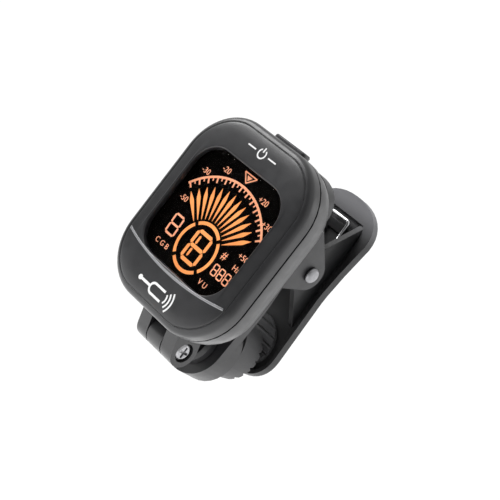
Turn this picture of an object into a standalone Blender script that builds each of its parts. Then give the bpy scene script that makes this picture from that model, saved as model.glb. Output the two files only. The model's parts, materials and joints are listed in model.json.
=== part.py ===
"""Clip-on instrument tuner, modelled as the separate pieces that it comes apart into.

Frame: metres, +X to the tuner's right, +Y backwards (away from the display), +Z up.
The origin is the centre of the front grip pad's face, where the clip bears on the instrument.
Run with: blender --background --python part.py
"""
import math

import bmesh
import bpy
from mathutils import Vector

MM = 0.001
THROUGH = 60.0 * MM
GAP = 0.3 * MM              # clearance kept between neighbouring pieces
ROUND_STEPS = 32            # sides of a turned piece

# Head: a rounded box whose front shell meets the rear shell at the parting plane
HEAD_WIDTH = 40.2 * MM
HEAD_HEIGHT = 47.1 * MM
HEAD_CORNER = 12.9 * MM
HEAD_Z = 21.15 * MM
FACE_Y = -34.9 * MM
BACK_Y = -20.7 * MM
PARTING_Y = -30.3 * MM
WALL = 1.5 * MM
BACK_INSET = 7.0 * MM
BACK_ROUNDING = 9.2 * MM

# Case screw seats, front to back
PILOT_RADIUS = 1.1 * MM
SCREW_HEAD_RADIUS = 1.5 * MM
PILOT_Y = -33.0 * MM
SCREW_TIP_Y = -32.4 * MM
SEAT_Y = -26.0 * MM
BOSS_BACK_Y = -23.4 * MM

# Display window and what lies behind it, front to back
WINDOW_WIDTH = 29.9 * MM
WINDOW_HEIGHT = 27.9 * MM
WINDOW_CORNER = 6.5 * MM
WINDOW_Z = 21.8 * MM
PANEL_SIZE = (31.2 * MM, 28.2 * MM)
DIFFUSER_SIZE = (30.0 * MM, 25.2 * MM)
DIFFUSER_Z = 23.4 * MM
INNER_CORNER = 6.0 * MM
STRIP_HALF = 13.0 * MM
STRIP_Z = (8.2 * MM, 10.2 * MM)
WINDOW_Y = (-34.15 * MM, -33.25 * MM)
LCD_Y = (-32.7 * MM, -31.1 * MM)
BACKLIGHT_Y = (-30.8 * MM, -29.8 * MM)
BOARD_Y = (-29.5 * MM, -28.5 * MM)
BOARD_INSET = 4.0 * MM
BLOB_PLACE = (-8.0 * MM, 0, 9.0 * MM)
SENSOR_RADIUS = 3.7 * MM
SENSOR_Y = (-23.8 * MM, -23.2 * MM)
SENSOR_Z = 8.0 * MM
SWITCH_HALF = 2.6 * MM
SWITCH_BACK_Y = -25.4 * MM
SWITCH_Z = (37.2 * MM, 40.4 * MM)
PLUNGER_TOP = 41.1 * MM

# Silver trim line below the window: a shallow arc across the face
TRIM_RADIUS = 78.0 * MM
TRIM_LOW_Z = HEAD_Z - 14.15 * MM
TRIM_HALF_SPAN = 18.0 * MM
TRIM_WIDTH = 0.7 * MM

# Power button in the top wall
BUTTON_WIDTH = 10.5 * MM
BUTTON_DEPTH = 3.0 * MM
BUTTON_Y = -27.8 * MM
BUTTON_TOP = HEAD_Z + HEAD_HEIGHT / 2 + 0.95 * MM
BUTTON_FLANGE_Z = (41.8 * MM, 42.4 * MM)
SLOT_Z = (42.5 * MM, 47.0 * MM)

# Coin cell (20 x 3.2 mm) and its round screw-in cover
CELL_RADIUS = 10.0 * MM
CELL_Y = (-26.1 * MM, -22.9 * MM)
CELL_Z = 24.4 * MM
COVER_RADIUS = 11.5 * MM
FLANGE_RADIUS = 12.3 * MM

# Case screws near the head's corners, driven from the back
BOSS_RADIUS = 2.4 * MM
BOSS_X = 12.6 * MM
BOSS_Z = 16.9 * MM

# Tilt hinge under the head
HINGE_Y = -22.4 * MM
HINGE_Z = -5.4 * MM
BARREL_RADIUS = 3.7 * MM
BARREL_X = (6.6 * MM, 7.0 * MM)
HINGE_BORE = 1.4 * MM
HINGE_HEAD_RADIUS = 2.1 * MM
HINGE_SEAT_X = 5.6 * MM
NUT_RADIUS = 2.3 * MM
NUT_X = (6.4 * MM, 5.0 * MM)
TONGUE_HALF = 2.6 * MM
TONGUE_RADIUS = 3.7 * MM

# Swivel turret that joins the tongue to the clip
SWIVEL_Z = -2.0 * MM
SWIVEL_RADIUS = 6.5 * MM
SWIVEL_Y = (-16.7 * MM, -14.1 * MM)
POST_RADIUS = 2.6 * MM
POST_END_Y = -10.7 * MM
WASHER_RADIUS = 4.4 * MM
WASHER_THICKNESS = 0.6 * MM

# Front clip arm: y of its front and back surfaces at the jaw and at the lever
ARM_JAW_Y = (-13.8 * MM, -11.1 * MM)
ARM_LEVER_Y = (-17.2 * MM, -13.9 * MM)
ARM_BEND_Z = (8.0 * MM, 38.0 * MM)
ARM_HALF = 9.3 * MM
ARM_DISC_RADIUS = 8.8 * MM
ARM_DISC_BACK_Y = -7.9 * MM
ARM_TOP_Z = 44.3 * MM
ARM_TOP_HEIGHT = 8.0 * MM
ARM_PLATE = 1.8 * MM
ARM_RIM = 1.3 * MM
EAR_THICKNESS = 1.3 * MM
EAR_RADIUS = 4.1 * MM

# Pivot pin of the clip, along X
PIN_Y = -6.7 * MM
PIN_Z = 25.0 * MM
PIN_RADIUS = 1.2 * MM
PIN_HEAD_RADIUS = 1.9 * MM
PIN_HALF = 10.5 * MM

# Rear clip arm: a shallow tray bent at a knee; y of its back surface at three heights
REAR_BACK = ((4.5 * MM, 0.0), (3.15 * MM, 23.0 * MM), (3.5 * MM, 46.0 * MM))
REAR_DEPTH = 2.2 * MM
REAR_PLATE = 1.0 * MM
REAR_RIM = 0.9 * MM
REAR_HALF = 9.4 * MM
REAR_JAW_Z = 4.0 * MM
REAR_JAW_HEIGHT = 8.0 * MM
REAR_LEVER_HALF = 10.8 * MM
REAR_TOP_Z = 45.7 * MM
REAR_TOP_HEIGHT = 8.4 * MM
POCKET_TOP = ((8.7 * MM, 32.5 * MM), (7.6 * MM, 39.4 * MM), (6.6 * MM, 41.0 * MM))
REAR_EAR_X = (5.7 * MM, 7.2 * MM)
REAR_EAR_RADIUS = 2.8 * MM
REAR_EAR_FOOT = (3.0 * MM, 12.0 * MM)
REAR_EAR_TOP = (1.9 * MM, 41.2 * MM)

# Grip pads
PAD_RADIUS = 7.5 * MM
PAD_BASE_RADIUS = 8.2 * MM
PAD_BASE_Y = -7.6 * MM
RIB_PITCH = 2.0 * MM
RIB_DEPTH = 0.9 * MM
REAR_RIB_DEPTH = 0.5 * MM
RIB_FLAT = 1.1 * MM
REAR_PAD_RADIUS = 6.5 * MM
REAR_PAD_Z = 4.4 * MM
REAR_PAD_FACE_Y = 2.05 * MM
REAR_PAD_SEAT = 0.02 * MM

# Double torsion spring
WIRE_RADIUS = 0.45 * MM
COIL_RADIUS = 2.4 * MM
COIL_START_X = 3.1 * MM
COIL_PITCH = 0.95 * MM
REAR_BAR = (0.95 * MM, 39.7 * MM)
REAR_KNEE = (1.2 * MM, 34.6 * MM)
SEAT_HALF = 2.4 * MM
FRONT_LEG_END = (-14.5 * MM, 37.0 * MM)


# ---------------------------------------------------------------- helpers

def clear_scene():
    """Start from an empty scene."""
    for item in list(bpy.data.objects):
        bpy.data.objects.remove(item, do_unlink=True)


def material(name, colour, roughness, metallic=0.0):
    """A Principled material with one colour."""
    made = bpy.data.materials.new(name)
    made.use_nodes = True
    shader = made.node_tree.nodes["Principled BSDF"]
    shader.inputs["Base Color"].default_value = (*colour, 1.0)
    shader.inputs["Roughness"].default_value = roughness
    shader.inputs["Metallic"].default_value = metallic
    return made


def axis_empty(name, place, parent=None):
    """An empty on a joint's axis, at a world position."""
    empty = bpy.data.objects.new(name, None)
    bpy.context.collection.objects.link(empty)
    empty["world"] = place
    empty.location = place
    if parent:
        empty.parent = parent
        empty.location = Vector(place) - Vector(parent["world"])
    return empty


def solid(name, verts, faces, finish=None, parent=None, smooth=True):
    """A mesh object from world coordinates, its origin on its parent's axis."""
    shift = Vector(parent["world"]) if parent else Vector((0, 0, 0))
    mesh = bpy.data.meshes.new(name)
    mesh.from_pydata([Vector(v) - shift for v in verts], [], faces)
    work = bmesh.new()
    work.from_mesh(mesh)
    bmesh.ops.remove_doubles(work, verts=work.verts, dist=1e-7)
    bmesh.ops.recalc_face_normals(work, faces=work.faces)
    work.to_mesh(mesh)
    work.free()
    if smooth:
        mesh.shade_smooth()
        mesh.set_sharp_from_angle(angle=math.radians(35))
    item = bpy.data.objects.new(name, mesh)
    bpy.context.collection.objects.link(item)
    item.parent = parent
    if finish:
        mesh.materials.append(finish)
    return item


def boolean(target, tool, operation="DIFFERENCE"):
    """Cut, join or intersect a target with a tool that is then hidden."""
    tool.hide_render = True
    tool.display_type = "WIRE"
    change = target.modifiers.new(operation.title() + "_" + tool.name, "BOOLEAN")
    change.operation = operation
    change.solver = "EXACT"
    change.object = tool
    return target


def loft(rings):
    """Vertices and faces of a closed solid through rings of equal length."""
    count = len(rings[0])
    verts = [point for ring in rings for point in ring]
    faces = [list(range(count))[::-1]]
    for level in range(len(rings) - 1):
        low = level * count
        for i in range(count):
            j = (i + 1) % count
            faces.append([low + i, low + j, low + count + j, low + count + i])
    top = (len(rings) - 1) * count
    faces.append([top + i for i in range(count)])
    return verts, faces


def prism(name, outline, axis, low, high, finish=None, parent=None):
    """Extrude an outline along X (points y, z), Y (points x, z) or Z (points x, y)."""
    place = {
        "x": lambda p, t: (t, p[0], p[1]),
        "y": lambda p, t: (p[0], t, p[1]),
        "z": lambda p, t: (p[0], p[1], t),
    }[axis]
    rings = [[place(p, t) for p in outline] for t in (low, high)]
    return solid(name, *loft(rings), finish, parent)


def turned(name, profile, axis, centre, finish=None, parent=None, steps=ROUND_STEPS):
    """Turn a profile of (radius, distance along the axis) about an axis through centre."""
    def place(radius, along, angle):
        a = radius * math.cos(angle)
        b = radius * math.sin(angle)
        if axis == "x":
            return (centre[0] + along, centre[1] + a, centre[2] + b)
        return (centre[0] + a, centre[1] + along, centre[2] + b)

    angles = [2 * math.pi * i / steps for i in range(steps)]
    rings = [[place(radius, along, angle) for angle in angles] for radius, along in profile]
    return solid(name, *loft(rings), finish, parent)


def disc(name, radius, axis, centre, low, high, finish=None, parent=None, chamfer=0.0):
    """A plain round piece, with its outer edges broken by a chamfer."""
    profile = [(radius, low), (radius, high)]
    if chamfer:
        profile = [(radius - chamfer, low), (radius, low + chamfer),
                   (radius, high - chamfer), (radius - chamfer, high)]
    return turned(name, profile, axis, centre, finish, parent)


def rounded_rect(width, height, radius, centre=(0.0, 0.0), steps=8):
    """Corner arcs of a rounded rectangle, in order round it."""
    points = []
    for corner in range(4):
        turn = corner * math.pi / 2
        side_x = 1 if corner in (0, 3) else -1
        side_z = 1 if corner in (0, 1) else -1
        mid_x = centre[0] + side_x * (width / 2 - radius)
        mid_z = centre[1] + side_z * (height / 2 - radius)
        for i in range(steps + 1):
            angle = turn + math.pi / 2 * i / steps
            points.append((mid_x + radius * math.cos(angle), mid_z + radius * math.sin(angle)))
    return points


def box(name, x, y, z, finish=None, parent=None):
    """A block between two limits on each axis."""
    outline = [(x[0], z[0]), (x[1], z[0]), (x[1], z[1]), (x[0], z[1])]
    return prism(name, outline, "y", y[0], y[1], finish, parent)


def circle_points(centre, radius, steps=32):
    """Points of a circle in a plane."""
    angles = [2 * math.pi * i / steps for i in range(steps)]
    return [(centre[0] + radius * math.cos(a), centre[1] + radius * math.sin(a)) for a in angles]


def hull(points):
    """Convex outline round a set of points in a plane."""
    def half(ordered):
        chain = []
        for p in ordered:
            while len(chain) > 1:
                (ax, ay), (bx, by) = chain[-2], chain[-1]
                if (bx - ax) * (p[1] - ay) - (by - ay) * (p[0] - ax) > 1e-12:
                    break
                chain.pop()
            chain.append(p)
        return chain[:-1]

    ordered = sorted(set(points))
    return half(ordered) + half(ordered[::-1])


def smooth_step(value, low, high):
    """0 below low, 1 above high, with an even curve between."""
    t = min(1.0, max(0.0, (value - low) / (high - low)))
    return t * t * (3 - 2 * t)


# ---------------------------------------------------------------- head shells

def head_ring(inset, y):
    """The head's outline, shrunk by an inset, at one depth."""
    outline = rounded_rect(HEAD_WIDTH - 2 * inset, HEAD_HEIGHT - 2 * inset,
                           HEAD_CORNER - inset, (0.0, HEAD_Z))
    return [(x, y, z) for x, z in outline]


def corner_bosses():
    """Places of the four case screws, as x and z."""
    return [(side * BOSS_X, HEAD_Z + level * BOSS_Z) for level in (1, -1) for side in (-1, 1)]


def trim_outline(width):
    """The trim line's curved band, a little wider or narrower than the strip itself."""
    centre_z = TRIM_LOW_Z + TRIM_RADIUS
    span = math.asin(TRIM_HALF_SPAN / TRIM_RADIUS)
    angles = [-span + 2 * span * i / 16 for i in range(17)]
    lower = TRIM_RADIUS + width / 2
    upper = TRIM_RADIUS - width / 2
    band = [(lower * math.sin(a), centre_z - lower * math.cos(a)) for a in angles]
    band += [(upper * math.sin(a), centre_z - upper * math.cos(a)) for a in angles[::-1]]
    return band


def face_levels():
    """Inset and depth of the front shell's outer rings, from the parting plane to the crown."""
    return [(0.0, PARTING_Y - GAP / 2), (0.0, FACE_Y + 2.3 * MM),
            (0.3 * MM, FACE_Y + 1.35 * MM), (1.0 * MM, FACE_Y + 0.75 * MM),
            (2.2 * MM, FACE_Y + 0.4 * MM), (5.0 * MM, FACE_Y + 0.15 * MM),
            (9.0 * MM, FACE_Y)]


def make_front_shell(finish, parent):
    """Crowned face with the window opening, the trim groove and the screw posts."""
    shell = solid("front_shell", *loft([head_ring(i, y) for i, y in face_levels()]),
                  finish, parent)
    hollow = [(WALL, PARTING_Y + MM), (WALL, FACE_Y + 2.3 * MM),
              (2.6 * MM, FACE_Y + 1.6 * MM)]
    boolean(shell, solid("front_cavity", *loft([head_ring(i, y) for i, y in hollow]),
                         None, parent))
    opening = rounded_rect(WINDOW_WIDTH, WINDOW_HEIGHT, WINDOW_CORNER, (0.0, WINDOW_Z))
    boolean(shell, prism("window_cut", opening, "y", FACE_Y - MM, FACE_Y + 4 * MM, None, parent))
    boolean(shell, prism("trim_cut", trim_outline(TRIM_WIDTH + GAP), "y",
                         FACE_Y - MM, FACE_Y + MM, None, parent))
    for number, (x, z) in enumerate(corner_bosses(), 1):
        post = disc(f"front_post_{number}", BOSS_RADIUS, "y", (x, 0, z),
                    FACE_Y + 1.3 * MM, PARTING_Y - GAP / 2, None, parent)
        boolean(shell, post, "UNION")
        hole = disc(f"front_pilot_{number}", PILOT_RADIUS, "y", (x, 0, z),
                    PILOT_Y, PARTING_Y + MM, None, parent)
        boolean(shell, hole)
    return shell


def prong_outline():
    """Side view of a clevis prong: the barrel blended into the head's lower back corner."""
    barrel = circle_points((HINGE_Y, HINGE_Z), BARREL_RADIUS)
    root = [(-28.0 * MM, -1.6 * MM), (-24.0 * MM, -0.6 * MM), (-22.2 * MM, 4.0 * MM)]
    return hull(barrel + root)


def make_rear_shell(finish, parent):
    """Rounded back with the cell opening, the button slot, screw bosses and hinge prongs."""
    arc = [math.pi / 2 * i / 8 for i in range(9)]
    levels = [(0.0, PARTING_Y + GAP / 2)]
    for angle in arc:
        inset = BACK_INSET * (1 - math.cos(angle))
        levels.append((inset, BACK_Y - BACK_ROUNDING * (1 - math.sin(angle))))
    shell = solid("rear_shell", *loft([head_ring(i, y) for i, y in levels]), finish, parent)
    hollow = [(WALL, PARTING_Y - MM)]
    for angle in arc[::2]:
        inset = BACK_INSET - (BACK_INSET - WALL) * math.cos(angle)
        depth = BACK_Y - BACK_ROUNDING + (BACK_ROUNDING - WALL) * math.sin(angle)
        hollow.append((inset, depth))
    boolean(shell, solid("rear_cavity", *loft([head_ring(i, y) for i, y in hollow]),
                         None, parent))
    inner = TONGUE_HALF + GAP
    for name, low, high in (("left", -BARREL_X[0], -inner), ("right", inner, BARREL_X[1])):
        prong = prism(f"prong_{name}", prong_outline(), "x", low, high, None, parent)
        boolean(shell, prong, "UNION")
    boolean(shell, disc("hinge_bore", HINGE_BORE, "x", (0, HINGE_Y, HINGE_Z),
                        -THROUGH, THROUGH, None, parent))
    boolean(shell, disc("screw_recess", HINGE_HEAD_RADIUS + GAP, "x", (0, HINGE_Y, HINGE_Z),
                        HINGE_SEAT_X - GAP, BARREL_X[1] + MM, None, parent))
    nut_pocket = circle_points((HINGE_Y, HINGE_Z), NUT_RADIUS + 0.35 * MM, 6)
    boolean(shell, prism("nut_pocket", nut_pocket, "x", -BARREL_X[0] - MM, GAP - NUT_X[1],
                         None, parent))
    boolean(shell, disc("cover_hole", COVER_RADIUS + GAP, "y", (0, 0, CELL_Z),
                        BACK_Y - 2 * MM, BACK_Y + MM, None, parent))
    boolean(shell, box("button_slot", (-BUTTON_WIDTH / 2 - GAP, BUTTON_WIDTH / 2 + GAP),
                       (BUTTON_Y - BUTTON_DEPTH / 2 - GAP, BUTTON_Y + BUTTON_DEPTH / 2 + GAP),
                       SLOT_Z, None, parent))
    for number, (x, z) in enumerate(corner_bosses(), 1):
        boss = disc(f"rear_boss_{number}", BOSS_RADIUS, "y", (x, 0, z),
                    PARTING_Y + GAP / 2, BOSS_BACK_Y, None, parent)
        boolean(shell, boss, "UNION")
        bore = turned(f"rear_bore_{number}",
                      [(PILOT_RADIUS, SCREW_TIP_Y), (PILOT_RADIUS, SEAT_Y),
                       (SCREW_HEAD_RADIUS + 0.4 * MM, SEAT_Y),
                       (SCREW_HEAD_RADIUS + 0.4 * MM, BACK_Y + MM)],
                      "y", (x, 0, z), None, parent)
        boolean(shell, bore)
    return shell


# ---------------------------------------------------------------- head contents

def make_display(mats, parent):
    """Window, liquid-crystal panel, backlight plate and its connector strip."""
    lens = rounded_rect(WINDOW_WIDTH - 2 * GAP, WINDOW_HEIGHT - 2 * GAP,
                        WINDOW_CORNER - GAP, (0.0, WINDOW_Z))
    prism("display_window", lens, "y", *WINDOW_Y, mats["window"], parent)
    panel = rounded_rect(*PANEL_SIZE, INNER_CORNER, (0.0, WINDOW_Z), 4)
    prism("lcd_panel", panel, "y", *LCD_Y, mats["lcd"], parent)
    diffuser = rounded_rect(*DIFFUSER_SIZE, INNER_CORNER, (0.0, DIFFUSER_Z), 4)
    prism("backlight_plate", diffuser, "y", *BACKLIGHT_Y, mats["diffuser"], parent)
    box("lcd_connector_strip", (-STRIP_HALF, STRIP_HALF), BACKLIGHT_Y, STRIP_Z,
        mats["strip"], parent)


def make_electronics(mats, parent):
    """Circuit board, processor, switch, vibration sensor and the cell with its contacts."""
    outline = rounded_rect(HEAD_WIDTH - 2 * BOARD_INSET, HEAD_HEIGHT - 2 * BOARD_INSET,
                           HEAD_CORNER - BOARD_INSET, (0.0, HEAD_Z))
    board = prism("circuit_board", outline, "y", *BOARD_Y, mats["board"], parent)
    for number, (x, z) in enumerate(corner_bosses(), 1):
        boolean(board, disc(f"board_notch_{number}", BOSS_RADIUS + 2 * GAP, "y", (x, 0, z),
                            BOARD_Y[0] - MM, BOARD_Y[1] + MM, None, parent))
    board_back = BOARD_Y[1] + GAP
    turned("processor_blob", [(3.2 * MM, board_back), (3.0 * MM, board_back + 0.7 * MM),
                              (2.0 * MM, board_back + 1.2 * MM),
                              (0.7 * MM, board_back + 1.4 * MM)],
           "y", BLOB_PLACE, mats["blob"], parent)
    switch = box("tact_switch", (-SWITCH_HALF, SWITCH_HALF), (board_back, SWITCH_BACK_Y),
                 SWITCH_Z, mats["switch"], parent)
    plunger = circle_points((0.0, BUTTON_Y + 0.6 * MM), 0.8 * MM, 16)
    boolean(switch, prism("plunger", plunger, "z", SWITCH_Z[1] - MM, PLUNGER_TOP, None, parent),
            "UNION")
    disc("vibration_sensor", SENSOR_RADIUS, "y", (0, 0, SENSOR_Z), *SENSOR_Y, mats["brass"],
         parent)
    disc("battery_cell", CELL_RADIUS, "y", (0, 0, CELL_Z), *CELL_Y, mats["steel"], parent,
         0.35 * MM)
    touch = CELL_Y[0] - GAP
    leaf = [(board_back, 17.0 * MM), (board_back + 0.4 * MM, 17.0 * MM),
            (board_back + 0.4 * MM, 20.6 * MM), (touch, 27.2 * MM), (touch, 30.0 * MM),
            (touch - 0.4 * MM, 30.0 * MM), (touch - 0.4 * MM, 27.4 * MM),
            (board_back, 21.0 * MM)]
    prism("battery_contact_negative", leaf, "x", -2.0 * MM, 2.0 * MM, mats["steel"], parent)
    box("battery_contact_positive", (CELL_RADIUS + 0.4 * MM, CELL_RADIUS + 0.9 * MM),
        (board_back, CELL_Y[1] - 1.4 * MM), (CELL_Z - 3 * MM, CELL_Z + 3 * MM),
        mats["steel"], parent)


def make_cover(finish, parent):
    """Round battery cover with a coin slot and an inner flange."""
    flange_front = BACK_Y - 2.4 * MM
    flange_back = BACK_Y - 1.8 * MM
    ring = FLANGE_RADIUS - 1.8 * MM
    profile = [(ring, flange_front), (FLANGE_RADIUS, flange_front),
               (FLANGE_RADIUS, flange_back), (COVER_RADIUS, flange_back),
               (COVER_RADIUS, BACK_Y - 0.3 * MM), (COVER_RADIUS - 0.3 * MM, BACK_Y)]
    cover = turned("battery_cover", profile, "y", (0, 0, CELL_Z), finish, parent, 48)
    boolean(cover, disc("cover_hollow", ring, "y", (0, 0, CELL_Z), flange_front - MM,
                        BACK_Y - 1.2 * MM, None, parent))
    slot = rounded_rect(12.0 * MM, 1.6 * MM, 0.7 * MM, (0.0, CELL_Z), 4)
    boolean(cover, prism("coin_slot", slot, "y", BACK_Y - 0.6 * MM, BACK_Y + MM, None, parent))


def make_case_screws(finish, parent):
    """Four countersunk case screws with cross recesses."""
    for number, (x, z) in enumerate(corner_bosses(), 1):
        screw = turned(f"case_screw_{number}",
                       [(0.8 * MM, SCREW_TIP_Y), (0.8 * MM, SEAT_Y + GAP),
                        (SCREW_HEAD_RADIUS, SEAT_Y + 2 * GAP),
                        (SCREW_HEAD_RADIUS, SEAT_Y + 1.2 * MM),
                        (SCREW_HEAD_RADIUS - 0.3 * MM, SEAT_Y + 1.5 * MM)],
                       "y", (x, 0, z), finish, parent, 20)
        for turn, (half_x, half_z) in enumerate(((0.85, 0.2), (0.2, 0.85))):
            slot = box(f"case_screw_{number}_slot_{turn}",
                       (x - half_x * MM, x + half_x * MM), (SEAT_Y + MM, SEAT_Y + 2 * MM),
                       (z - half_z * MM, z + half_z * MM), None, parent)
            boolean(screw, slot)


def make_button(finish, parent):
    """Power button with a retaining flange inside the top wall."""
    half_y = BUTTON_DEPTH / 2
    cap = rounded_rect(BUTTON_WIDTH, BUTTON_DEPTH, 0.9 * MM, (0.0, BUTTON_Y), 4)
    flange = rounded_rect(BUTTON_WIDTH + 2.0 * MM, BUTTON_DEPTH, 0.5 * MM, (0.0, BUTTON_Y), 4)
    top = rounded_rect(BUTTON_WIDTH - 0.6 * MM, BUTTON_DEPTH - 0.6 * MM, half_y * 0.4,
                       (0.0, BUTTON_Y), 4)
    levels = [(flange, BUTTON_FLANGE_Z[0]), (flange, BUTTON_FLANGE_Z[1]),
              (cap, BUTTON_FLANGE_Z[1]),
              (cap, BUTTON_TOP - 0.3 * MM), (top, BUTTON_TOP)]
    rings = [[(x, y, z) for x, y in outline] for outline, z in levels]
    solid("power_button", *loft(rings), finish, parent)


# ---------------------------------------------------------------- hinge and swivel

def make_hinge_hardware(finish, parent):
    """Hinge screw through the barrel, and the nut that holds it."""
    screw = turned("hinge_screw",
                   [(HINGE_BORE - GAP, 0.1 * MM - NUT_X[0]), (HINGE_BORE - GAP, HINGE_SEAT_X),
                    (HINGE_HEAD_RADIUS, HINGE_SEAT_X),
                    (HINGE_HEAD_RADIUS, HINGE_SEAT_X + 0.8 * MM),
                    (HINGE_HEAD_RADIUS - 0.6 * MM, HINGE_SEAT_X + 1.2 * MM)],
                   "x", (0, HINGE_Y, HINGE_Z), finish, parent)
    for turn, (half_y, half_z) in enumerate(((1.3, 0.3), (0.3, 1.3))):
        slot = box(f"hinge_screw_slot_{turn}", (HINGE_SEAT_X + 0.5 * MM, BARREL_X[1] + MM),
                   (HINGE_Y - half_y * MM, HINGE_Y + half_y * MM),
                   (HINGE_Z - half_z * MM, HINGE_Z + half_z * MM), None, parent)
        boolean(screw, slot)
    nut = prism("hinge_nut", circle_points((HINGE_Y, HINGE_Z), NUT_RADIUS, 6), "x",
                -NUT_X[0], -NUT_X[1], finish, parent)
    boolean(nut, disc("nut_bore", HINGE_BORE - GAP / 2, "x", (0, HINGE_Y, HINGE_Z),
                      -THROUGH, THROUGH, None, parent))


def make_swivel(mats, parent):
    """Turret disc with the hinge tongue in front and the swivel post behind."""
    front, back = SWIVEL_Y
    centre = (0, 0, SWIVEL_Z)
    base = turned("swivel_base",
                  [(SWIVEL_RADIUS - 0.8 * MM, front), (SWIVEL_RADIUS, front + 0.8 * MM),
                   (SWIVEL_RADIUS, back), (POST_RADIUS, back), (POST_RADIUS, POST_END_Y)],
                  "y", centre, mats["body"], parent, 40)
    outline = hull(circle_points((HINGE_Y, HINGE_Z), TONGUE_RADIUS)
                   + [(front + 0.5 * MM, -7.8 * MM), (front + 0.5 * MM, 1.0 * MM)])
    boolean(base, prism("tongue", outline, "x", -TONGUE_HALF, TONGUE_HALF, None, parent),
            "UNION")
    boolean(base, disc("tongue_bore", HINGE_BORE, "x", (0, HINGE_Y, HINGE_Z), -THROUGH,
                       THROUGH, None, parent))
    boolean(base, disc("swivel_thread", 1.3 * MM, "y", centre, front + 1.2 * MM,
                       POST_END_Y + MM, None, parent))
    washer_y = POST_END_Y + GAP
    head_y = washer_y + WASHER_THICKNESS + GAP
    washer = disc("swivel_washer", WASHER_RADIUS, "y", centre, washer_y,
                  washer_y + WASHER_THICKNESS, mats["steel"], parent)
    boolean(washer, disc("washer_bore", 1.3 * MM, "y", centre, -THROUGH, THROUGH, None, parent))
    screw = turned("swivel_screw",
                   [(1.0 * MM, front + 1.6 * MM), (1.0 * MM, head_y), (2.2 * MM, head_y),
                    (2.2 * MM, head_y + 0.7 * MM), (1.6 * MM, head_y + 1.1 * MM)],
                   "y", centre, mats["steel"], parent, 24)
    for turn, (half_x, half_z) in enumerate(((1.2, 0.25), (0.25, 1.2))):
        slot = box(f"swivel_slot_{turn}", (-half_x * MM, half_x * MM),
                   (head_y + 0.6 * MM, head_y + 2 * MM),
                   (SWIVEL_Z - half_z * MM, SWIVEL_Z + half_z * MM), None, parent)
        boolean(screw, slot)


# ---------------------------------------------------------------- clip

def front_arm_depth(z, jaw, lever):
    """Depth of a surface of the front arm, which bends from the jaw to the lever."""
    return jaw + (lever - jaw) * smooth_step(z, *ARM_BEND_Z)


def arm_side(low_z, high_z, shallow, deep, steps=18):
    """Side view (y, z) of a curved plate between two depth functions."""
    heights = [low_z + (high_z - low_z) * i / steps for i in range(steps + 1)]
    return [(shallow(z), z) for z in heights] + [(deep(z), z) for z in heights[::-1]]


def dome(half, height, base_z, downwards=False, steps=20):
    """Half of a slightly squared ellipse in x and z, from one side to the other."""
    power = 2 / 2.2
    points = []
    for i in range(steps + 1):
        angle = math.pi * i / steps
        x = half * math.copysign(abs(math.cos(angle)) ** power, math.cos(angle))
        z = height * math.sin(angle) ** power
        points.append((-x, base_z - z) if downwards else (x, base_z + z))
    return points


def front_arm_outline(inset):
    """Front arm seen from the front: round jaw end and domed lever end."""
    radius = ARM_DISC_RADIUS - inset
    half = ARM_HALF - inset
    lower = [(radius * math.cos(a), SWIVEL_Z + radius * math.sin(a))
             for a in [math.pi + math.pi * i / 20 for i in range(21)]]
    upper = dome(half, ARM_TOP_HEIGHT - inset, ARM_TOP_Z - ARM_TOP_HEIGHT)
    return lower + [(half, 12.0 * MM)] + upper + [(-half, 12.0 * MM)]


def make_front_arm(finish):
    """Front arm: a rimmed, bent lever with two triangular ears for the pin."""
    def front(z):
        return front_arm_depth(z, ARM_JAW_Y[0], ARM_LEVER_Y[0])

    def back(z):
        return front_arm_depth(z, ARM_JAW_Y[1], ARM_LEVER_Y[1])

    def floor(z):
        return front(z) + ARM_PLATE

    low_z = SWIVEL_Z - ARM_DISC_RADIUS - 2 * MM
    high_z = ARM_TOP_Z + 2 * MM
    side = arm_side(low_z, high_z, front, back)
    arm = prism("front_arm", side, "x", -ARM_HALF - MM, ARM_HALF + MM, finish)
    boolean(arm, prism("front_arm_plan", front_arm_outline(0.0), "y", -THROUGH, THROUGH),
            "INTERSECT")
    pocket_side = arm_side(low_z, high_z, floor, lambda z: back(z) + 3 * MM)
    pocket = prism("front_arm_pocket", pocket_side, "x", -ARM_HALF - MM, ARM_HALF + MM)
    boolean(pocket, prism("front_arm_inner_plan", front_arm_outline(ARM_RIM), "y",
                          -THROUGH, THROUGH), "INTERSECT")
    boolean(arm, pocket)
    boolean(arm, disc("jaw_disc", ARM_DISC_RADIUS, "y", (0, 0, SWIVEL_Z), ARM_JAW_Y[0] + MM,
                      ARM_DISC_BACK_Y), "UNION")
    boolean(arm, disc("washer_recess", WASHER_RADIUS + 2 * GAP, "y", (0, 0, SWIVEL_Z),
                      POST_END_Y - GAP, ARM_DISC_BACK_Y + MM))
    ear = hull(circle_points((PIN_Y, PIN_Z), EAR_RADIUS)
               + [(-12.6 * MM, 18.6 * MM), (-12.4 * MM, 34.6 * MM), (-14.2 * MM, 36.0 * MM)])
    for name, low, high in (("left", -ARM_HALF, EAR_THICKNESS - ARM_HALF),
                            ("right", ARM_HALF - EAR_THICKNESS, ARM_HALF)):
        boolean(arm, prism(f"front_ear_{name}", ear, "x", low, high), "UNION")
    boolean(arm, disc("front_pin_bore", PIN_RADIUS + GAP, "x", (0, PIN_Y, PIN_Z),
                      -THROUGH, THROUGH))
    boolean(arm, disc("swivel_bore", POST_RADIUS + GAP, "y", (0, 0, SWIVEL_Z),
                      ARM_JAW_Y[0] - MM, POST_END_Y + MM))
    return arm


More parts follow.
